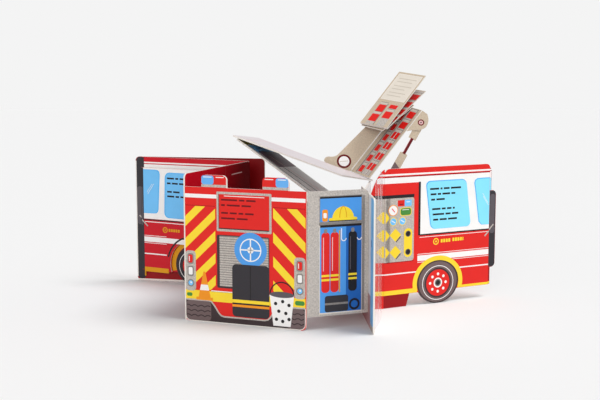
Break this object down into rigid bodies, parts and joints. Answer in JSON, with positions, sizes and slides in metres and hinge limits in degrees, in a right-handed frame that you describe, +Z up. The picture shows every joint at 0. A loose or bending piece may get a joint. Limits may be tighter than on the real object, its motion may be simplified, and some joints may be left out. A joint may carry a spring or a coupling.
{
  "type": "pop-up board book",
  "caption": "Pop-up board book shaped as a fire engine, opened and standing, with die-cut leaves, a folded roof, a clear film page and a folding card ladder.",
  "frame": {"origin": "centre of the standing book's plan box, on the surface it stands on", "axes": "+Z up, +X to the right of a viewer in front of the rear leaf, +Y away from that viewer"},
  "size_m": [0.4984, 0.3608, 0.3002],
  "materials": {
    "red_board": "laminated print on white-cored board",
    "dark_board": "laminated dark red board",
    "grey_board": "laminated speckled grey print",
    "blue_board": "laminated blue print",
    "pale_board": "plain pale board",
    "ladder_card": "uncoated printed card",
    "clear_film": "clear glossy film"
  },
  "bodies": {
    "pages": {"door_leaf": "blue_board", "locker_leaf": "grey_board", "rear_leaf": "red_board", "left_inner_leaf": "dark_board", "left_side_leaf": "red_board", "left_side_flap": "red_board", "right_fold_strip": "red_board", "right_side_leaf": "red_board", "clear_film_page": "clear_film", "roof_leaf_upper": "pale_board", "roof_leaf_inner": "grey_board", "back_leaf": "dark_board", "back_panel": "dark_board", "ladder_bed": "ladder_card", "ladder_left_plate": "ladder_card", "ladder_right_plate": "ladder_card", "ladder_strut": "ladder_card", "ladder_front_section": "ladder_card", "ladder_middle_section": "ladder_card", "ladder_lower_section": "ladder_card"},
    "left_cover": {"left_cover_board": "dark_board"},
    "right_cover": {"right_cover_board": "dark_board"}
  },
  "joints": [
    {"name": "left_cover_hinge", "type": "hinge", "parent": "pages", "child": "left_cover", "pos_m": [-0.24896, 0.14063, 0], "axis": [0, 0, 1], "range_deg": [0, 100]},
    {"name": "right_cover_hinge", "type": "hinge", "parent": "pages", "child": "right_cover", "pos_m": [0.0923, -0.04535, 0], "axis": [0, 0, 1], "range_deg": [0, 40]}
  ]
}
